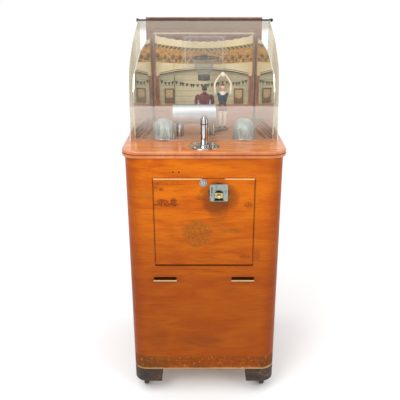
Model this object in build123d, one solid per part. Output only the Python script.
from build123d import *
import math
import os

# A coin-operated diorama ball game: a veneered wooden cabinet on casters, a coin door,
# a control post on the table top, and a small stage under a lift-off clear hood.
# Millimetres. Depths are measured back from the table's front edge, heights from the floor.

# ---- Table top ----
TABLE_W = 650.0
TABLE_D = 700.0
TABLE_T = 27.0
TABLE_TOP = 1145.0            # height of the table's upper surface
TABLE_CORNER_R = 72.0
TABLE_REAR_R = 20.0
TABLE_OVERHANG = 12.0
NOSING_GROOVE = 4.0           # height and depth of the groove that parts the two nosing lips

# ---- Cabinet ----
PANEL_T = 18.0
CORNER_R = 56.0               # outer radius of the quarter-round front corner posts
CABINET_BOTTOM = 135.0
BOARD_EASE = 1.0              # how much rounder a board's corner is than the post it sits in
SHELF_TOP = 638.0
VENT_W = 130.0
VENT_H = 8.0
VENT_PITCH = 24.0
VENT_COUNT = 5
VENT_TOP = 1030.0

# ---- Feet and casters ----
FOOT_W = 123.0
WHEEL_D = 50.0
FOOT_BOTTOM = WHEEL_D + 19.0    # room over the wheel for the fork crown and the plate
WHEEL_W = 20.0
WHEEL_TRAIL = 14.0
CASTER_INSET = 45.0           # kingpin to the cabinet's side face
CASTER_PLATE = 44.0
CASTER_PLATE_T = 3.0
KINGPIN_D = 8.0
FORK_LEG_T = 2.5
FORK_GAP = 2.0                # wheel face to fork leg
AXLE_D = 6.0
RUNNING = 0.05                # radial clearance of every turning pin, shaft and plug

# ---- Coin door ----
DOOR_W = 401.0
DOOR_H = 380.0
DOOR_TOP = TABLE_TOP - 111.0
DOOR_GAP = 2.0
PIVOT_D = 8.0
PIVOT_REACH = 20.0            # how far a pivot pin enters the door, and the panel
LOCK_DROP = 17.5              # lock centre below the door's top edge
LOCK_X = -3.0
LOCK_FLANGE_D = 31.0
LOCK_FLANGE_T = 3.0
LOCK_BARREL_D = 22.0
LOCK_PLUG_D = 16.0
CAM_L = 32.0
CAM_W = 14.0
CAM_T = 3.0

# ---- Coin plate on the door ----
COIN_X = 59.0
COIN_Z = TABLE_TOP - 170.0
COIN_PLATE_W = 73.0
COIN_PLATE_H = 71.0
COIN_PLATE_T = 4.0
WINDOW_W = 34.0
WINDOW_H = 42.0
WINDOW_DROP = 8.0             # window centre below the plate's centre
COIN_SLOT_W = 4.0
COIN_SLOT_H = 29.0
FLAP_W = 30.0
FLAP_H = 20.0
FLAP_T = 2.5
FLAP_PIN_D = 2.4
BEAK_R = 9.0
BEAK_REACH = 20.0             # from the door's face to the beak's tip
MECH_W = 50.0
MECH_D = 55.0
MECH_H = 66.0
SHEET_T = 1.5                 # wall of the folded sheet boxes
CHUTE_W = 30.0
CHUTE_D = 26.0
CHUTE_H = 130.0
CASH_W = 140.0
CASH_D = 160.0
CASH_H = 120.0
CASH_GAP = 1.0                # cash box to the door's back

# ---- Slots and holes in the front panel ----
SLOT_W = 97.0
SLOT_H = 13.0
SLOT_X = 163.0
SLOT_Z = TABLE_TOP - 552.0
LIP_H = 4.5
LIP_REACH = 5.0
PEEP_D = 6.0
PEEP_XS = (-121.0, -98.0)
PEEP_Z = TABLE_TOP - 84.5

# ---- Hood ----
HOOD_W = 603.0
HOOD_T = 4.0
HOOD_FOOT = 148.0             # depth of the sheet's front foot
HOOD_KNEE = (181.0, 275.0)    # depth and height above the table where the legs of the sheet meet
HOOD_SHOULDER = (330.0, 376.0)
HOOD_REAR = (597.0, 454.0)
HOOD_KNEE_R = 140.0
HOOD_SHOULDER_R = 600.0
HOOD_SIDE_END = 622.0
HOOD_LIFT_GAP = 0.3           # between the hood and what it stands on
ROD_D = 8.0
ROD_AT = (607.0, 456.0)
ROD_BOSS_R = 10.0
ROD_NUT_D = 15.0
ROD_NUT_T = 7.0

# ---- Stage ----
STAGE_FRONT = 172.0
STAGE_T = 4.0
MIRROR_FRONT = (200.0, 284.0)  # depth and half-width where the mirrors start
MIRROR_BACK = (588.0, 233.5)
MIRROR_T = 4.0
MIRROR_DROP = 26.0            # mirror's top edge below the hood's sheet
RAIL_W = 9.0
RAIL_H = 10.0
RAIL_SPACING = 26.0
RISER_FRONT = 556.0
RISER_H = 74.0
RISER_T = 10.0
BACKDROP_AT = 590.0
BACKDROP_T = 6.0
BACKDROP_H = 404.0
STAGE_HALF_W = 231.0
COLUMN_W = 23.0
COLUMN_D = 18.0
COLUMN_TOP = 210.0
VALANCE_AT = 572.0
VALANCE_T = 8.0
VALANCE_TOP = 400.0
VALANCE_RISE = 25.0
BACK_BOARD_W = 540.0
BACK_BOARD_AT = 640.0
BACK_BOARD_T = 12.0
BACK_BOARD_H = 467.0
BOX_BOARD_T = 8.0

# ---- Hoop ----
PLATE_W = 197.0
PLATE_BOTTOM = 243.0
PLATE_TOP = 392.0
PLATE_AT = 517.0
PLATE_T = 6.0
STRUT_D = 6.0
STRUT_X = 62.0
STRUT_DROP = 20.0
HOOP_D = 106.0
HOOP_ROD_D = 5.0
HOOP_H = 304.0
HOOP_BRACKET_W = 30.0
NET_BOTTOM_D = 53.0
NET_BOTTOM = 229.0
NET_T = 2.0
COLLAR_BOTTOM = 206.0

# ---- Stage fittings ----
LAMP_X = 166.0
LAMP_AT = 213.0
LAMP_R = 47.0
LAMP_WALL = 2.5
LAMP_H = 88.0
BULB_D = 22.0
BULB_H = 40.0
TUBE_D = 80.0
TUBE_X0 = -130.0
TUBE_X1 = 50.0
TUBE_AT = LAMP_AT - 8.0 + TUBE_D / 2         # starts 8 mm before the lamps' open edges
TUBE_H = 57.0 + TUBE_D / 2      # its axis above the table
TUBE_WALL = 2.0
PEG_D = 5.0
PEG_L = 16.0
PEG_XS = (-24.0, 25.0)
POST_LEFT_D = 33.0
POST_LEFT_X = -102.0
POST_RIGHT_D = 14.0
POST_RIGHT_X = 40.0

# ---- Control post, swing arm and belt drive ----
CONTROL_AT = 86.5
FLANGE_D = 120.0
FLANGE_T = 4.0
COLLAR_D = 46.0
COLLAR_T = 10.0
POST_D = 29.0
POST_H = 112.0
SHAFT_D = 20.0
SHAFT_HOLE_D = 26.0
SCREW_D = 9.0
SCREW_PCD = 98.0
SCREW_COUNT = 4
BUTTON_D = 20.0
BUTTON_RISE = 8.0             # button's side standing above the post, and its travel
BUTTON_L = 30.0
HUB_X = 15.0
HUB_AT = 255.0
HUB_D = 26.0
HUB_H = 42.0
HUB_SHAFT_D = 12.0
HUB_HOLE_D = 14.0
ARM_REACH_X = 66.0
ARM_REACH_Y = 102.0
ARM_W = 9.0
ARM_T = 3.0
ARM_H = 7.0                   # underside of the arm above the table
PLATFORM_D = 57.0
PLATFORM_T = 6.0
PULLEY_R = 30.0
PULLEY_T = 12.0
PULLEY_FLANGE = 3.0
PULLEY_DROP = 40.0            # pulley's middle below the table's underside
BELT_T = 4.0
BELT_W = 6.0
BELT_GAP = 0.3

# ---- Figures ----
MAN_X = 2.0
MAN_AT = 430.0
MAN_H = 190.0
FIGURE_H = 192.0
FIGURE_SHOULDER = 147.0       # shoulder axle above the figure's feet
FIGURE_AXLE_D = 4.0
FIGURE_SHOULDER_X = 30.0
BALL_D = 22.0

# ---- Worked out from the above ----
CABINET_W = TABLE_W - 2 * TABLE_OVERHANG
FACE = TABLE_OVERHANG                                 # depth of the cabinet's front face
REAR = TABLE_D - TABLE_OVERHANG
INNER_X = CABINET_W / 2 - PANEL_T
CABINET_TOP = TABLE_TOP - TABLE_T
Y_ORIGIN = (TABLE_D + min(0.0, FACE - BEAK_REACH)) / 2
FRONT_HALF_W = CABINET_W / 2 - CORNER_R
DOOR_BOTTOM = DOOR_TOP - DOOR_H
PIVOT_Z = DOOR_BOTTOM + PANEL_T / 2
PIVOT_AT = FACE + PANEL_T / 2
DOOR_BACK = FACE + PANEL_T
LOCK_Z = DOOR_TOP - LOCK_DROP
STAGE_TOP = TABLE_TOP + STAGE_T
FIGURE_X = HUB_X + ARM_REACH_X
FIGURE_AT = HUB_AT + ARM_REACH_Y
FIGURE_FEET = TABLE_TOP + ARM_H + ARM_T + PLATFORM_T
PULLEY_Z = CABINET_TOP - PULLEY_DROP


def at(x, depth, z):
    """A place in the part's frame, from a depth behind the table's front edge."""
    return Pos(x, depth - Y_ORIGIN, z)


def block(x0, x1, d0, d1, z0, z1):
    """A box between two depths, two widths and two heights above the floor."""
    middle = at((x0 + x1) / 2, (d0 + d1) / 2, (z0 + z1) / 2)
    return middle * Box(abs(x1 - x0), abs(d1 - d0), abs(z1 - z0))


def upright(x, depth, z0, z1, diameter):
    """A vertical cylinder between two heights."""
    return at(x, depth, (z0 + z1) / 2) * Cylinder(diameter / 2, z1 - z0)


def crossbar(x0, x1, depth, z, diameter):
    """A cylinder along X."""
    bar = Cylinder(diameter / 2, abs(x1 - x0), rotation=(0, 90, 0))
    return at((x0 + x1) / 2, depth, z) * bar


def through(x, z, diameter, d0, d1):
    """A cylinder along the depth axis."""
    bar = Cylinder(diameter / 2, d1 - d0, rotation=(90, 0, 0))
    return at(x, (d0 + d1) / 2, z) * bar


def mirrored(solid):
    """The same solid on the other side of the machine's middle plane."""
    return mirror(solid, Plane.YZ)


def rounded_board(half_w, d0, d1, z0, z1, front_r, rear_r=0.0):
    """A horizontal board whose front corners, and if asked rear ones, are rounded."""
    board = block(-half_w, half_w, d0, d1, z0, z1)
    front = board.edges().filter_by(Axis.Z).sort_by(Axis.Y)[:2]
    board = fillet(front, front_r)
    if rear_r > 0:
        rear = board.edges().filter_by(Axis.Z).sort_by(Axis.Y)[-2:]
        board = fillet(rear, rear_r)
    return board


# ---------------------------------------------------------------- cabinet

def front_panel():
    """Front of four flush boards round the door opening: lower board, two stiles, top rail."""
    half = DOOR_W / 2 + DOOR_GAP
    sill = DOOR_BOTTOM - DOOR_GAP
    head = DOOR_TOP + DOOR_GAP
    board = block(-FRONT_HALF_W, FRONT_HALF_W, FACE, DOOR_BACK, CABINET_BOTTOM, sill)
    slot = extrude(SlotOverall(SLOT_W, SLOT_H), PANEL_T, both=True)
    for side in (-1, 1):
        board -= at(side * SLOT_X, PIVOT_AT, SLOT_Z) * Rot(90, 0, 0) * slot
    stile = block(half, FRONT_HALF_W, FACE, DOOR_BACK, sill, head)
    stile -= crossbar(half - 1, half + PIVOT_REACH, PIVOT_AT, PIVOT_Z, PIVOT_D)
    rail = block(-FRONT_HALF_W, FRONT_HALF_W, FACE, DOOR_BACK, head, CABINET_TOP)
    for x in PEEP_XS:
        rail -= through(x, PEEP_Z, PEEP_D, FACE - 1, DOOR_BACK + 1)
    return [board, stile, mirrored(stile), rail]


def corner_post():
    """Quarter-round post that joins the front panel to the right side panel."""
    height = CABINET_TOP - CABINET_BOTTOM
    ring = Cylinder(CORNER_R, height) - Cylinder(CORNER_R - PANEL_T, height)
    ring = at(FRONT_HALF_W, FACE + CORNER_R, CABINET_BOTTOM + height / 2) * ring
    quarter = block(FRONT_HALF_W, CABINET_W / 2, FACE, FACE + CORNER_R, CABINET_BOTTOM, CABINET_TOP)
    return ring & quarter


def side_panel():
    """Right side board."""
    return block(INNER_X, CABINET_W / 2, FACE + CORNER_R, REAR, CABINET_BOTTOM, CABINET_TOP)


def back_panel():
    """Back board between the sides, with a ladder of vent slots near its top."""
    panel = block(-INNER_X, INNER_X, REAR - PANEL_T, REAR, CABINET_BOTTOM, CABINET_TOP)
    slot = extrude(SlotOverall(VENT_W, VENT_H), PANEL_T, both=True)
    for i in range(VENT_COUNT):
        panel -= at(0, REAR - PANEL_T / 2, VENT_TOP - i * VENT_PITCH) * Rot(90, 0, 0) * slot
    return panel


def inner_board(z_top):
    """A board across the whole inside of the cabinet."""
    corner = CORNER_R - PANEL_T + BOARD_EASE
    return rounded_board(INNER_X, DOOR_BACK, REAR - PANEL_T, z_top - PANEL_T, z_top, corner)


def table_top():
    """Table top: two rounded lips with a groove between them, and two shaft holes."""
    lip = (TABLE_T - NOSING_GROOVE) / 2
    half = TABLE_W / 2
    low = rounded_board(half, 0, TABLE_D, CABINET_TOP, CABINET_TOP + lip, TABLE_CORNER_R, TABLE_REAR_R)
    high = rounded_board(half, 0, TABLE_D, TABLE_TOP - lip, TABLE_TOP, TABLE_CORNER_R, TABLE_REAR_R)
    high = fillet(high.edges().group_by(Axis.Z)[-1], lip / 2)
    low = fillet(low.edges().group_by(Axis.Z)[0], lip / 4)
    neck = rounded_board(half - NOSING_GROOVE, NOSING_GROOVE, TABLE_D - NOSING_GROOVE,
                         CABINET_TOP + lip, TABLE_TOP - lip,
                         TABLE_CORNER_R - NOSING_GROOVE, TABLE_REAR_R - NOSING_GROOVE)
    top = low + neck + high
    top -= upright(0, CONTROL_AT, CABINET_TOP - 1, TABLE_TOP + 1, SHAFT_HOLE_D)
    top -= upright(HUB_X, HUB_AT, CABINET_TOP - 1, TABLE_TOP + 1, HUB_HOLE_D)
    return top


def foot_blocks():
    """Four foot blocks; the front pair follow the rounded corner posts."""
    half = CABINET_W / 2
    front = block(half - FOOT_W, half, FACE, FACE + FOOT_W, FOOT_BOTTOM, CABINET_BOTTOM)
    corner = front.edges().filter_by(Axis.Z).sort_by(Axis.X)[-2:].sort_by(Axis.Y)[0]
    front = fillet(corner, CORNER_R)
    rear = block(half - FOOT_W, half, REAR - FOOT_W, REAR, FOOT_BOTTOM, CABINET_BOTTOM)
    return [front, mirrored(front), rear, mirrored(rear)]


# ---------------------------------------------------------------- casters

def caster_places():
    """Name, x and depth of each kingpin."""
    x = CABINET_W / 2 - CASTER_INSET
    front = FACE + FOOT_W / 2
    rear = REAR - FOOT_W / 2
    return [("front_left", -x, front), ("front_right", x, front),
            ("rear_left", -x, rear), ("rear_right", x, rear)]


CROWN_TOP = FOOT_BOTTOM - CASTER_PLATE_T - 4.0
CROWN_T = 4.0
KINGPIN_HEAD_T = 2.5
KINGPIN_HEAD_D = 12.0


def caster_plates():
    """Mounting plates under the foot blocks, each with its riveted kingpin."""
    plates = []
    for _, x, depth in caster_places():
        half = CASTER_PLATE / 2
        plate = block(x - half, x + half, depth - half, depth + half,
                      FOOT_BOTTOM - CASTER_PLATE_T, FOOT_BOTTOM)
        head_top = CROWN_TOP - CROWN_T - BELT_GAP
        plate += upright(x, depth, head_top - KINGPIN_HEAD_T, FOOT_BOTTOM - CASTER_PLATE_T, KINGPIN_D)
        plate += upright(x, depth, head_top - KINGPIN_HEAD_T, head_top, KINGPIN_HEAD_D)
        plates.append(plate)
    return plates


def caster_fork(x, depth):
    """Swivel fork and its axle pin; the wheel trails behind the kingpin."""
    inner = WHEEL_W / 2 + FORK_GAP
    outer = inner + FORK_LEG_T
    fork = upright(x, depth, CROWN_TOP - CROWN_T, CROWN_TOP, 2 * outer)
    eye = Pos(WHEEL_TRAIL, WHEEL_D / 2) * Circle(AXLE_D)
    root = Pos(0, CROWN_TOP - CROWN_T / 2) * Rectangle(outer * 1.2, CROWN_T)
    profile = make_hull(eye.edges() + root.edges())
    for side in (-1, 1):
        face_x = min(x + side * inner, x + side * outer)
        leg_plane = Plane(origin=(face_x, depth - Y_ORIGIN, 0), x_dir=(0, 1, 0), z_dir=(1, 0, 0))
        fork += extrude(leg_plane * profile, FORK_LEG_T)
    fork -= upright(x, depth, CROWN_TOP - CROWN_T - 1, CROWN_TOP + 1, KINGPIN_D + 2 * RUNNING)
    axle_x = (x - outer - 1, x + outer + 1)
    fork -= crossbar(*axle_x, depth + WHEEL_TRAIL, WHEEL_D / 2, AXLE_D)
    axle = crossbar(*axle_x, depth + WHEEL_TRAIL, WHEEL_D / 2, AXLE_D)
    return [fork, axle]


def caster_wheel(x, depth):
    """Wheel with rounded tread and dished faces, bored for the axle."""
    wheel = Cylinder(WHEEL_D / 2, WHEEL_W)
    wheel = fillet(wheel.edges().filter_by(GeomType.CIRCLE), WHEEL_W / 5)
    dish = Pos(0, 0, WHEEL_W / 2) * (Cylinder(WHEEL_D / 3, 4.0) - Cylinder(WHEEL_D / 8, 4.0))
    wheel -= dish
    wheel -= Rot(180, 0, 0) * dish
    wheel -= Cylinder(AXLE_D / 2 + RUNNING, WHEEL_W + 2)
    return at(x, depth + WHEEL_TRAIL, WHEEL_D / 2) * Rot(0, 90, 0) * wheel


# ---------------------------------------------------------------- coin door

def door_pivot_pins():
    """Two pins that carry the door's lower corners."""
    edge = DOOR_W / 2 + DOOR_GAP
    pin = crossbar(edge - DOOR_GAP - PIVOT_REACH, edge + PIVOT_REACH, PIVOT_AT, PIVOT_Z, PIVOT_D)
    return [pin, mirrored(pin)]


def coin_door():
    """Door leaf: its lower edge is rounded about the pivots so that it swings clear."""
    half = DOOR_W / 2
    door = block(-half, half, FACE, DOOR_BACK, PIVOT_Z, DOOR_TOP)
    door += crossbar(-half, half, PIVOT_AT, PIVOT_Z, PANEL_T)
    for side in (-1, 1):
        door -= crossbar(side * (half - PIVOT_REACH - 1), side * (half + 1),
                         PIVOT_AT, PIVOT_Z, PIVOT_D + 2 * RUNNING)
    door -= through(LOCK_X, LOCK_Z, LOCK_BARREL_D, FACE - 1, DOOR_BACK + 1)
    hole = block(COIN_X - WINDOW_W / 2 - 3, COIN_X + WINDOW_W / 2 + 3, FACE - 1, DOOR_BACK + 1,
                 COIN_Z - WINDOW_DROP - WINDOW_H / 2 - 3, COIN_Z + COIN_PLATE_H / 2 - 6)
    return door - hole


def lock_housing():
    """Flanged lock barrel, bored for the plug."""
    housing = through(LOCK_X, LOCK_Z, LOCK_FLANGE_D, FACE - LOCK_FLANGE_T, FACE)
    housing = fillet(housing.edges().group_by(Axis.Y)[0], LOCK_FLANGE_T / 2)
    housing += through(LOCK_X, LOCK_Z, LOCK_BARREL_D, FACE, DOOR_BACK + LOCK_FLANGE_T)
    bore = LOCK_PLUG_D + 2 * RUNNING
    return housing - through(LOCK_X, LOCK_Z, bore, FACE - LOCK_FLANGE_T - 1, DOOR_BACK + CAM_L)


def lock_plug():
    """Turning plug with its key slot, and the cam bolted on its inner end."""
    cam_front = DOOR_BACK + LOCK_FLANGE_T + BELT_GAP
    plug = through(LOCK_X, LOCK_Z, LOCK_PLUG_D, FACE - LOCK_FLANGE_T, cam_front)
    plug -= block(LOCK_X - 1.2, LOCK_X + 1.2, FACE - LOCK_FLANGE_T - 1, FACE + 6,
                  LOCK_Z - 4.5, LOCK_Z + 4.5)
    slab = SlotOverall(CAM_L + CAM_W / 2, CAM_W)
    cam = Rot(90, 0, 0) * extrude(Pos(CAM_L / 2 - CAM_W / 4, 0) * slab, CAM_T)
    return [plug, at(LOCK_X, cam_front + CAM_T, LOCK_Z) * cam]


def coin_plate():
    """Escutcheon with a coin slot and an arched window, and the flap's hinge pin."""
    front = FACE - COIN_PLATE_T
    half_w = COIN_PLATE_W / 2
    half_h = COIN_PLATE_H / 2
    plate = block(COIN_X - half_w, COIN_X + half_w, front, FACE, COIN_Z - half_h, COIN_Z + half_h)
    plate = fillet(plate.edges().filter_by(Axis.Y), 6.0)
    plate = chamfer(plate.edges().group_by(Axis.Y)[0], 0.8)
    window_z = COIN_Z - WINDOW_DROP
    low = window_z - WINDOW_H / 2
    arch_z = window_z + WINDOW_H / 2 - WINDOW_W / 2
    left = COIN_X - WINDOW_W / 2
    right = COIN_X + WINDOW_W / 2
    rim = block(left - 3, right + 3, front - 2, front, low - 3, arch_z)
    rim += through(COIN_X, arch_z, WINDOW_W + 6, front - 2, front)
    plate += rim
    plate -= block(left, right, front - 3, FACE + 1, low, arch_z)
    plate -= through(COIN_X, arch_z, WINDOW_W, front - 3, FACE + 1)
    plate += block(left - 3, right + 3, front - 11, front, low - 3, low - 0.5)
    slot_x = COIN_X - half_w + 9
    slot_z = COIN_Z + half_h - 8 - COIN_SLOT_H / 2
    slot = block(slot_x - COIN_SLOT_W / 2, slot_x + COIN_SLOT_W / 2, front - 3, FACE + 1,
                 slot_z - COIN_SLOT_H / 2, slot_z + COIN_SLOT_H / 2)
    plate -= slot
    pin = crossbar(left, right, FACE - COIN_PLATE_T / 2, flap_axis_z(), FLAP_PIN_D)
    return [plate, pin]


def flap_axis_z():
    """Height of the return flap's hinge pin."""
    return COIN_Z - WINDOW_DROP + WINDOW_H / 2 - WINDOW_W / 2 + 2


def coin_flap():
    """Return flap with a rounded beak to lift it by, bored for its hinge pin."""
    axis_z = flap_axis_z()
    axis_at = FACE - COIN_PLATE_T / 2
    half = FLAP_W / 2
    flap = crossbar(COIN_X - half, COIN_X + half, axis_at, axis_z, 2 * FLAP_T)
    flap += block(COIN_X - half, COIN_X + half, axis_at - FLAP_T / 2, axis_at + FLAP_T / 2,
                  axis_z - FLAP_H, axis_z)
    beak_z = axis_z - FLAP_H / 2 - 1
    tip = FACE - BEAK_REACH
    beak = at(COIN_X, tip + BEAK_R, beak_z) * Sphere(BEAK_R)
    beak += through(COIN_X, beak_z, 2 * BEAK_R, tip + BEAK_R, axis_at)
    flap += beak & block(COIN_X - half, COIN_X + half, tip - 1, axis_at, beak_z - BEAK_R, beak_z + 6)
    flap -= crossbar(COIN_X - half - 1, COIN_X + half + 1, axis_at, axis_z, FLAP_PIN_D + 2 * RUNNING)
    return flap


def coin_mechanism():
    """Folded sheet box behind the plate, open to the plate and to the chute."""
    x0 = COIN_X - MECH_W / 2
    x1 = COIN_X + MECH_W / 2
    back = DOOR_BACK + MECH_D
    z0 = COIN_Z - MECH_H / 2
    z1 = COIN_Z + MECH_H / 2
    shell = block(x0, x1, DOOR_BACK, back, z0, z1)
    shell -= block(x0 + SHEET_T, x1 - SHEET_T, DOOR_BACK - 1, back - SHEET_T, z0 + SHEET_T, z1 - SHEET_T)
    inset = SHEET_T
    shell -= block(COIN_X - CHUTE_W / 2 + inset, COIN_X + CHUTE_W / 2 - inset,
                   DOOR_BACK + inset, DOOR_BACK + CHUTE_D - inset, z0 - 1, z0 + SHEET_T + 1)
    return shell


def coin_chute():
    """Square sheet tube on the door's back that drops coins into the cash box."""
    top = COIN_Z - MECH_H / 2
    x0 = COIN_X - CHUTE_W / 2
    x1 = COIN_X + CHUTE_W / 2
    tube = block(x0, x1, DOOR_BACK, DOOR_BACK + CHUTE_D, top - CHUTE_H, top)
    return tube - block(x0 + SHEET_T, x1 - SHEET_T, DOOR_BACK + SHEET_T,
                        DOOR_BACK + CHUTE_D - SHEET_T, top - CHUTE_H - 1, top + 1)


def cash_box():
    """Open-topped box on the shelf under the chute."""
    d0 = DOOR_BACK + CASH_GAP
    x0 = COIN_X - CASH_W / 2
    x1 = COIN_X + CASH_W / 2
    box = block(x0, x1, d0, d0 + CASH_D, SHELF_TOP, SHELF_TOP + CASH_H)
    return box - block(x0 + SHEET_T, x1 - SHEET_T, d0 + SHEET_T, d0 + CASH_D - SHEET_T,
                       SHELF_TOP + SHEET_T, SHELF_TOP + CASH_H + 1)


def slot_lips():
    """Pale metal lips under the two slots of the front panel."""
    lip = block(SLOT_X - SLOT_W / 2, SLOT_X + SLOT_W / 2, FACE - LIP_REACH, FACE,
                SLOT_Z - SLOT_H / 2 - LIP_H, SLOT_Z - SLOT_H / 2)
    lip = fillet(lip.edges().filter_by(Axis.Y), LIP_H / 2.2)
    return [lip, mirrored(lip)]


# ---------------------------------------------------------------- hood

def hood_path():
    """Side view of the hood's outer face: X is depth, Y is height above the table."""
    points = [(HOOD_FOOT, HOOD_LIFT_GAP), HOOD_KNEE, HOOD_SHOULDER, HOOD_REAR]
    return FilletPolyline(*points, radius=[HOOD_KNEE_R, HOOD_SHOULDER_R])


def side_view(x):
    """Sketch plane at x with its own X along the depth and its own Y upwards."""
    return Plane(origin=(x, -Y_ORIGIN, TABLE_TOP), x_dir=(0, 1, 0), z_dir=(1, 0, 0))


def hood_sheet():
    """The bent clear sheet."""
    outline = make_face(offset(hood_path(), amount=HOOD_T, side=Side.RIGHT))
    sheet = extrude(side_view(-HOOD_W / 2) * outline, HOOD_W)
    foot = TABLE_TOP + HOOD_LIFT_GAP
    return sheet - block(-HOOD_W, HOOD_W, 0, HOOD_KNEE[0], foot - HOOD_T, foot)


def hood_side():
    """Right side sheet of the hood, with a boss for the tie rod."""
    path = hood_path()
    rear_z = HOOD_REAR[1]
    rest = Polyline(HOOD_REAR, (HOOD_SIDE_END, rear_z), (HOOD_SIDE_END, HOOD_LIFT_GAP),
                    (HOOD_FOOT, HOOD_LIFT_GAP))
    outline = make_face(path.edges() + rest.edges())
    outline += Pos(*ROD_AT) * Circle(ROD_BOSS_R)
    outline -= Pos(*ROD_AT) * Circle(ROD_D / 2 + RUNNING)
    side = extrude(side_view(HOOD_W / 2 - HOOD_T) * outline, HOOD_T)
    return side - hood_sheet()


def tie_rod():
    """Rod through the hood's sides, with a flat nut on the left and a ball nut on the right."""
    depth = ROD_AT[0]
    z = TABLE_TOP + ROD_AT[1]
    end = HOOD_W / 2 + ROD_NUT_T
    rod = crossbar(-end, end, depth, z, ROD_D)
    flat = crossbar(-end, -HOOD_W / 2, depth, z, ROD_NUT_D)
    flat -= rod
    ball = at(end, depth, z) * Sphere(ROD_NUT_D / 2)
    ball = ball & block(HOOD_W / 2, end + ROD_NUT_D, depth - ROD_NUT_D, depth + ROD_NUT_D,
                        z - ROD_NUT_D, z + ROD_NUT_D)
    return [rod, flat, ball - rod]


# ---------------------------------------------------------------- stage

def mirror_half_width(depth):
    """Half the stage's width between the mirrors' inner faces."""
    share = (depth - MIRROR_FRONT[0]) / (MIRROR_BACK[0] - MIRROR_FRONT[0])
    return MIRROR_FRONT[1] + share * (MIRROR_BACK[1] - MIRROR_FRONT[1])


def stage_outline(inset, front, back):
    """Trapezium between the mirrors, seen from above."""
    a = mirror_half_width(front) - inset
    b = mirror_half_width(back) - inset
    points = [(-a, front - Y_ORIGIN), (a, front - Y_ORIGIN), (b, back - Y_ORIGIN), (-b, back - Y_ORIGIN)]
    return make_face(Polyline(*points, close=True))


def stage_floor():
    """Thin stage floor laid on the table top, with a hole for the swing arm's shaft."""
    floor = Pos(0, 0, TABLE_TOP) * extrude(stage_outline(1.0, STAGE_FRONT, RISER_FRONT + RISER_T), STAGE_T)
    return floor - upright(HUB_X, HUB_AT, TABLE_TOP - 1, STAGE_TOP + 1, HUB_HOLE_D)


def stage_riser():
    """Wooden wainscot at the back of the stage with its ledge."""
    board = block(-STAGE_HALF_W, STAGE_HALF_W, RISER_FRONT, RISER_FRONT + RISER_T,
                  STAGE_TOP, TABLE_TOP + RISER_H)
    ledge = block(-STAGE_HALF_W, STAGE_HALF_W, RISER_FRONT + RISER_T, BACKDROP_AT,
                  TABLE_TOP + RISER_H - RISER_T, TABLE_TOP + RISER_H)
    return board + ledge


def mirror_plane():
    """Sketch plane on the right mirror's inner face: X runs back along it, Y is up."""
    dx = MIRROR_BACK[1] - MIRROR_FRONT[1]
    dy = MIRROR_BACK[0] - MIRROR_FRONT[0]
    start = (MIRROR_FRONT[1], MIRROR_FRONT[0] - Y_ORIGIN, TABLE_TOP)
    return Plane(origin=start, x_dir=(dx, dy, 0), z_dir=(dy, -dx, 0))


def side_mirror():
    """Right mirror: its top follows the hood's side view."""
    length = math.dist(MIRROR_FRONT, MIRROR_BACK)
    knee = HOOD_KNEE[0] - MIRROR_FRONT[0] + 1.6 * MIRROR_DROP
    shoulder = HOOD_SHOULDER[0] - MIRROR_FRONT[0]
    slope = (HOOD_REAR[1] - HOOD_SHOULDER[1]) / (HOOD_REAR[0] - HOOD_SHOULDER[0])
    rear_z = HOOD_SHOULDER[1] + slope * (length - shoulder) - 2 * MIRROR_DROP
    points = [(0, 0), (0, HOOD_KNEE[1] - 3 * MIRROR_DROP), (knee, HOOD_KNEE[1] - MIRROR_DROP / 2),
              (shoulder, HOOD_SHOULDER[1] - 1.5 * MIRROR_DROP), (length, rear_z), (length, 0)]
    return extrude(mirror_plane() * make_face(Polyline(*points, close=True)), MIRROR_T)


def mirror_rails():
    """Two floor rails beside each mirror."""
    length = math.dist(MIRROR_FRONT, MIRROR_BACK) - (MIRROR_BACK[0] - RISER_FRONT) - 2
    rails = []
    for i in range(2):
        # on the mirror's plane, -Z points into the stage
        rail = Box(length, RAIL_H, RAIL_W, align=(Align.MIN, Align.MIN, Align.MAX))
        offset_in = 1.5 + i * RAIL_SPACING
        rails.append(mirror_plane() * Pos(0, STAGE_T, -offset_in) * rail)
    return rails + [mirrored(rail) for rail in rails]


def backdrop():
    """Painted board at the back of the stage."""
    return block(-STAGE_HALF_W, STAGE_HALF_W, BACKDROP_AT, BACKDROP_AT + BACKDROP_T,
                 TABLE_TOP, TABLE_TOP + BACKDROP_H)


def columns():
    """Two pilasters on the riser's ledge."""
    column = block(STAGE_HALF_W - COLUMN_W, STAGE_HALF_W, BACKDROP_AT - COLUMN_D, BACKDROP_AT,
                   TABLE_TOP + RISER_H, TABLE_TOP + COLUMN_TOP)
    return [column, mirrored(column)]


def valance():
    """Arched proscenium board on the two pilasters."""
    low = COLUMN_TOP
    arch = ThreePointArc((STAGE_HALF_W - COLUMN_W, low), (0, low + VALANCE_RISE),
                         (COLUMN_W - STAGE_HALF_W, low))
    rim = Polyline((COLUMN_W - STAGE_HALF_W, low), (-STAGE_HALF_W, low), (-STAGE_HALF_W, VALANCE_TOP),
                   (STAGE_HALF_W, VALANCE_TOP), (STAGE_HALF_W, low), (STAGE_HALF_W - COLUMN_W, low))
    plane = Plane(origin=(0, VALANCE_AT + VALANCE_T - Y_ORIGIN, TABLE_TOP), x_dir=(1, 0, 0), z_dir=(0, -1, 0))
    return extrude(plane * make_face(arch.edges() + rim.edges()), VALANCE_T)


def back_board():
    """Tall board behind the hood."""
    return block(-BACK_BOARD_W / 2, BACK_BOARD_W / 2, BACK_BOARD_AT, BACK_BOARD_AT + BACK_BOARD_T,
                 TABLE_TOP, TABLE_TOP + BACK_BOARD_H)


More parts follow.
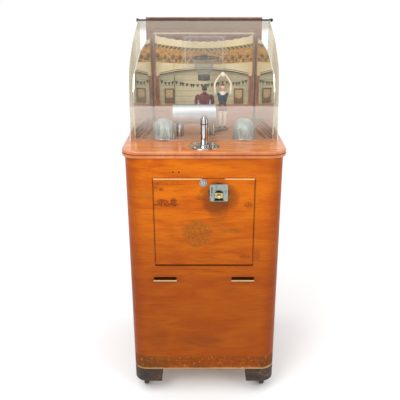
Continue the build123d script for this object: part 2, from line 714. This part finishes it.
def rear_box():
    """Two side boards and a top that join the backdrop to the back board."""
    d0 = BACKDROP_AT + BACKDROP_T
    side = block(STAGE_HALF_W - BOX_BOARD_T, STAGE_HALF_W, d0, BACK_BOARD_AT,
                 TABLE_TOP, TABLE_TOP + BACKDROP_H)
    top = block(-STAGE_HALF_W, STAGE_HALF_W, d0 - BACKDROP_T, BACK_BOARD_AT,
                TABLE_TOP + BACKDROP_H, TABLE_TOP + BACKDROP_H + BOX_BOARD_T)
    return [side, mirrored(side), top]


# ---------------------------------------------------------------- hoop

def backboard_plate():
    """Clear plate behind the hoop."""
    return block(-PLATE_W / 2, PLATE_W / 2, PLATE_AT, PLATE_AT + PLATE_T,
                 TABLE_TOP + PLATE_BOTTOM, TABLE_TOP + PLATE_TOP)


def backboard_struts():
    """Two rods that carry the clear plate from the valance."""
    strut = through(STRUT_X, TABLE_TOP + PLATE_TOP - STRUT_DROP, STRUT_D, PLATE_AT + PLATE_T, VALANCE_AT)
    return [strut, mirrored(strut)]


def hoop_depth():
    """Depth of the hoop's centre, so that its ring meets the bracket on the plate."""
    return PLATE_AT - FLANGE_T - HOOP_D / 2


def hoop():
    """Ring of round rod with a bracket that meets the plate."""
    depth = hoop_depth()
    ring = at(0, depth, TABLE_TOP + HOOP_H) * Torus(HOOP_D / 2, HOOP_ROD_D / 2)
    half = HOOP_BRACKET_W / 2
    foot = block(-half, half, PLATE_AT - FLANGE_T, PLATE_AT,
                 TABLE_TOP + HOOP_H - half, TABLE_TOP + HOOP_H + half / 2)
    return ring + foot


def net():
    """Tapered net, as a thin open cone."""
    height = HOOP_H - HOOP_ROD_D / 2 - NET_BOTTOM
    middle = TABLE_TOP + NET_BOTTOM + height / 2
    outer = Cone(NET_BOTTOM_D / 2, HOOP_D / 2, height)
    inner = Cone(NET_BOTTOM_D / 2 - NET_T, HOOP_D / 2 - NET_T, height)
    return at(0, hoop_depth(), middle) * (outer - inner)


def net_collar():
    """Dark ring that gathers the net's lower end."""
    height = NET_BOTTOM - COLLAR_BOTTOM
    ring = Cylinder(NET_BOTTOM_D / 2, height) - Cylinder(NET_BOTTOM_D / 2 - NET_T, height)
    return at(0, hoop_depth(), TABLE_TOP + COLLAR_BOTTOM + height / 2) * ring


# ---------------------------------------------------------------- stage fittings

def shell_lamps():
    """Two half-dome lamp hoods that open towards the back of the stage."""
    straight = LAMP_H - STAGE_T - LAMP_R
    dome = Cylinder(LAMP_R, straight, align=(Align.CENTER, Align.CENTER, Align.MIN))
    dome += Pos(0, 0, straight) * Sphere(LAMP_R)
    inner_r = LAMP_R - LAMP_WALL
    inside = Pos(0, 0, -1) * Cylinder(inner_r, straight + 1, align=(Align.CENTER, Align.CENTER, Align.MIN))
    inside += Pos(0, 0, straight) * Sphere(inner_r)
    half = Box(3 * LAMP_R, 3 * LAMP_R, 3 * LAMP_H, align=(Align.CENTER, Align.MAX, Align.MIN))
    shell = at(LAMP_X, LAMP_AT, STAGE_TOP) * ((dome - inside) & half)
    return [shell, mirrored(shell)]


def lamp_bulbs():
    """Small bulbs in their sockets under the lamp hoods."""
    socket = upright(LAMP_X, LAMP_AT - LAMP_R / 3, STAGE_TOP, STAGE_TOP + BULB_H / 3, BULB_D * 0.7)
    glass = at(LAMP_X, LAMP_AT - LAMP_R / 3, STAGE_TOP + BULB_H - BULB_D / 2) * Sphere(BULB_D / 2)
    neck = upright(LAMP_X, LAMP_AT - LAMP_R / 3, STAGE_TOP + BULB_H / 3,
                   STAGE_TOP + BULB_H - BULB_D / 2, BULB_D * 0.5)
    bulb = socket + neck + glass
    return [bulb, mirrored(bulb)]


def feed_tube():
    """Closed bright tube across the front of the stage, with two pegs on top."""
    z = TABLE_TOP + TUBE_H
    tube = crossbar(TUBE_X0, TUBE_X1, TUBE_AT, z, TUBE_D)
    tube = fillet(tube.edges().filter_by(GeomType.CIRCLE), 3.0)
    tube -= crossbar(TUBE_X0 + 4, TUBE_X1 - 4, TUBE_AT, z, TUBE_D - 2 * TUBE_WALL - 2)
    for x in PEG_XS:
        tube += upright(x, TUBE_AT, z + TUBE_D / 2 - TUBE_WALL, z + TUBE_D / 2 + PEG_L, PEG_D)
    return tube


def feed_tube_stands():
    """Two posts with saddle tops that carry the tube."""
    stands = []
    seat = crossbar(TUBE_X0, TUBE_X1, TUBE_AT, TABLE_TOP + TUBE_H, TUBE_D)
    for x, diameter in ((POST_LEFT_X, POST_LEFT_D), (POST_RIGHT_X, POST_RIGHT_D)):
        post = upright(x, TUBE_AT, STAGE_TOP, TABLE_TOP + TUBE_H - TUBE_D / 2 + diameter / 6, diameter)
        stands.append(post - seat)
    return stands


# ---------------------------------------------------------------- control and swing arm

def control_flange():
    """Round flange with a raised collar, and its screws."""
    flange = upright(0, CONTROL_AT, TABLE_TOP, TABLE_TOP + FLANGE_T, FLANGE_D)
    flange = fillet(flange.edges().group_by(Axis.Z)[-1], FLANGE_T / 2)
    flange += upright(0, CONTROL_AT, TABLE_TOP, TABLE_TOP + COLLAR_T, COLLAR_D)
    flange -= upright(0, CONTROL_AT, TABLE_TOP - 1, TABLE_TOP + COLLAR_T + 1, SHAFT_D + 2 * RUNNING)
    screws = []
    for i in range(SCREW_COUNT):
        angle = math.radians(45 + 360 / SCREW_COUNT * i)
        x = SCREW_PCD / 2 * math.cos(angle)
        depth = CONTROL_AT + SCREW_PCD / 2 * math.sin(angle)
        z = TABLE_TOP + FLANGE_T
        head = at(x, depth, z) * Sphere(SCREW_D / 2)
        screws.append(head & upright(x, depth, z, z + SCREW_D / 3, SCREW_D))
    return [flange] + screws


def pulley(x, depth, shaft_d):
    """Grooved pulley on a shaft."""
    rim = PULLEY_R + PULLEY_FLANGE
    wheel = upright(x, depth, PULLEY_Z - PULLEY_T / 2, PULLEY_Z + PULLEY_T / 2, 2 * rim)
    groove = BELT_W / 2 + 0.5
    wheel -= (upright(x, depth, PULLEY_Z - groove, PULLEY_Z + groove, 3 * rim)
              - upright(x, depth, PULLEY_Z - groove, PULLEY_Z + groove, 2 * PULLEY_R))
    return wheel - upright(x, depth, PULLEY_Z - PULLEY_T, PULLEY_Z + PULLEY_T, shaft_d)


def control_post():
    """Turning post on its shaft, bored for the button, and the pulley on the shaft's foot."""
    base = TABLE_TOP + COLLAR_T + BELT_GAP
    post = upright(0, CONTROL_AT, base, TABLE_TOP + POST_H, POST_D)
    post = fillet(post.edges().group_by(Axis.Z)[-1], 2.0)
    shaft = upright(0, CONTROL_AT, PULLEY_Z - PULLEY_T, base, SHAFT_D)
    post += shaft
    post -= upright(0, CONTROL_AT, TABLE_TOP + POST_H - BUTTON_L, TABLE_TOP + POST_H + 1,
                    BUTTON_D + 2 * RUNNING)
    return [post, pulley(0, CONTROL_AT, SHAFT_D)]


def control_button():
    """Domed push button that slides down into the post."""
    top = TABLE_TOP + POST_H
    stem_bottom = top - BUTTON_L + BUTTON_RISE + 1
    button = upright(0, CONTROL_AT, stem_bottom, top + BUTTON_RISE, BUTTON_D)
    return fillet(button.edges().group_by(Axis.Z)[-1], BUTTON_D / 3)


def swing_arm():
    """Hub, shaft, arm and round platform, and the pulley on the shaft's foot."""
    hub = upright(HUB_X, HUB_AT, STAGE_TOP + BELT_GAP, TABLE_TOP + HUB_H, HUB_D)
    hub = fillet(hub.edges().group_by(Axis.Z)[-1], 3.0)
    hub += upright(HUB_X, HUB_AT, PULLEY_Z - PULLEY_T, STAGE_TOP + BELT_GAP, HUB_SHAFT_D)
    reach = math.hypot(ARM_REACH_X, ARM_REACH_Y)
    turn = math.degrees(math.atan2(ARM_REACH_Y, ARM_REACH_X))
    bar = Box(reach, ARM_W, ARM_T, align=(Align.MIN, Align.CENTER, Align.MIN))
    arm = at(HUB_X, HUB_AT, TABLE_TOP + ARM_H) * Rot(0, 0, turn) * bar
    top = FIGURE_FEET
    platform = upright(FIGURE_X, FIGURE_AT, top - PLATFORM_T, top, PLATFORM_D)
    return [hub + arm + platform, pulley(HUB_X, HUB_AT, HUB_SHAFT_D)]


def drive_belt():
    """Flat belt round the two pulleys, just clear of their grooves."""
    run = math.hypot(HUB_X, HUB_AT - CONTROL_AT)
    turn = math.degrees(math.atan2(HUB_AT - CONTROL_AT, HUB_X))
    inner_r = PULLEY_R + BELT_GAP
    outer_r = inner_r + BELT_T
    loop = SlotOverall(run + 2 * outer_r, 2 * outer_r) - SlotOverall(run + 2 * inner_r, 2 * inner_r)
    belt = extrude(loop, BELT_W / 2, both=True)
    middle = at(HUB_X / 2, (HUB_AT + CONTROL_AT) / 2, PULLEY_Z)
    return middle * Rot(0, 0, turn) * belt


# ---------------------------------------------------------------- figures

def limb(start, end, r0, r1):
    """Tapered limb between two points of a figure."""
    along = Vector(*end) - Vector(*start)
    plane = Plane(origin=start, z_dir=along)
    cone = Cone(r0, r1, along.length, align=(Align.CENTER, Align.CENTER, Align.MIN))
    return plane * cone


def figure_body(height, half_shoulder, leg_spread):
    """Standing figure without arms, feet at the origin."""
    head_r = height * 0.075
    hip = height * 0.48
    shoulder = height * 0.80
    body = limb((-leg_spread, 0, 0), (-leg_spread, 0, hip), height * 0.035, height * 0.052)
    body += limb((leg_spread, 0, 0), (leg_spread, 0, hip), height * 0.035, height * 0.052)
    low = Pos(0, 0, hip) * Ellipse(half_shoulder * 0.72, height * 0.065)
    high = Pos(0, 0, shoulder) * Ellipse(half_shoulder, height * 0.07)
    body += loft([low, high])
    body += Pos(0, 0, shoulder) * Cone(half_shoulder * 0.8, head_r * 0.5, height * 0.05,
                                       align=(Align.CENTER, Align.CENTER, Align.MIN))
    body += Pos(0, 0, shoulder) * Cylinder(head_r * 0.5, height - head_r - shoulder,
                                           align=(Align.CENTER, Align.CENTER, Align.MIN))
    return body + Pos(0, 0, height - head_r) * Sphere(head_r)


def standing_figure():
    """Figure in a jacket, seen from behind, with its arms held in front."""
    body = figure_body(MAN_H - STAGE_T, 34.0, 13.0)
    for side in (-1, 1):
        shoulder = (side * 32.0, 0, 142.0)
        elbow = (side * 36.0, 6.0, 105.0)
        hand = (side * 12.0, 30.0, 112.0)
        body += limb(shoulder, elbow, 9.0, 7.5)
        body += Pos(*elbow) * Sphere(7.5)
        body += limb(elbow, hand, 7.5, 5.0)
        body += Pos(*shoulder) * Sphere(9.0)
    return at(MAN_X, MAN_AT, STAGE_TOP) * body


def raised_arm_figure():
    """Figure on the platform; its shoulders are bored for the arms' axle."""
    body = figure_body(FIGURE_H, 24.0, 12.0)
    body -= Pos(0, 0, FIGURE_SHOULDER) * Cylinder(FIGURE_AXLE_D / 2 + RUNNING, 100, rotation=(0, 90, 0))
    return at(FIGURE_X, FIGURE_AT, FIGURE_FEET) * body


def figure_arms():
    """Both arms on their axle, joined overhead round a ball."""
    axle = Pos(0, 0, FIGURE_SHOULDER) * Cylinder(FIGURE_AXLE_D / 2, 2 * FIGURE_SHOULDER_X, rotation=(0, 90, 0))
    ball_z = FIGURE_H + 36.0
    arms = axle + Pos(0, 0, ball_z) * Sphere(BALL_D / 2)
    for side in (-1, 1):
        shoulder = (side * (FIGURE_SHOULDER_X + 2), 0, FIGURE_SHOULDER)
        elbow = (side * (FIGURE_SHOULDER_X + 3), 0, FIGURE_SHOULDER + 42)
        hand = (side * BALL_D * 0.45, 0, ball_z)
        arms += Pos(*shoulder) * Sphere(6.0)
        arms += limb(shoulder, elbow, 6.0, 5.0)
        arms += Pos(*elbow) * Sphere(5.0)
        arms += limb(elbow, hand, 5.0, 4.0)
    return at(FIGURE_X, FIGURE_AT, FIGURE_FEET) * arms


# ---------------------------------------------------------------- every node

def all_nodes():
    """Every sub-part by name: one solid, or a list of separate solids."""
    nodes = {
        "front_panel": front_panel(),
        "corner_post_right": corner_post(),
        "corner_post_left": mirrored(corner_post()),
        "side_panel_right": side_panel(),
        "side_panel_left": mirrored(side_panel()),
        "back_panel": back_panel(),
        "bottom_board": inner_board(CABINET_BOTTOM + PANEL_T),
        "cash_shelf": inner_board(SHELF_TOP),
        "table_top": table_top(),
        "foot_blocks": foot_blocks(),
        "caster_plates": caster_plates(),
        "door_pivot_pins": door_pivot_pins(),
        "coin_door": coin_door(),
        "lock_housing": lock_housing(),
        "lock_plug": lock_plug(),
        "coin_plate": coin_plate(),
        "coin_flap": coin_flap(),
        "coin_mechanism": coin_mechanism(),
        "coin_chute": coin_chute(),
        "cash_box": cash_box(),
        "slot_lips": slot_lips(),
        "hood_sheet": hood_sheet(),
        "hood_side_right": hood_side(),
        "hood_side_left": mirrored(hood_side()),
        "tie_rod": tie_rod(),
        "stage_floor": stage_floor(),
        "stage_riser": stage_riser(),
        "side_mirror_right": side_mirror(),
        "side_mirror_left": mirrored(side_mirror()),
        "mirror_rails": mirror_rails(),
        "backdrop": backdrop(),
        "columns": columns(),
        "valance": valance(),
        "back_board": back_board(),
        "rear_box": rear_box(),
        "backboard_plate": backboard_plate(),
        "backboard_struts": backboard_struts(),
        "hoop": hoop(),
        "net": net(),
        "net_collar": net_collar(),
        "shell_lamps": shell_lamps(),
        "lamp_bulbs": lamp_bulbs(),
        "feed_tube": feed_tube(),
        "feed_tube_stands": feed_tube_stands(),
        "control_flange": control_flange(),
        "control_post": control_post(),
        "control_button": control_button(),
        "swing_arm": swing_arm(),
        "drive_belt": drive_belt(),
        "standing_figure": standing_figure(),
        "raised_arm_figure": raised_arm_figure(),
        "figure_arms": figure_arms(),
    }
    for name, x, depth in caster_places():
        nodes["caster_fork_" + name] = caster_fork(x, depth)
        nodes["caster_wheel_" + name] = caster_wheel(x, depth)
    return nodes


def main():
    """Write one STEP file for each node."""
    os.makedirs("parts", exist_ok=True)
    for name, shape in all_nodes().items():
        solids = shape if isinstance(shape, list) else [shape]
        whole = Compound(children=solids) if len(solids) > 1 else solids[0]
        export_step(whole, os.path.join("parts", name + ".step"))


main()
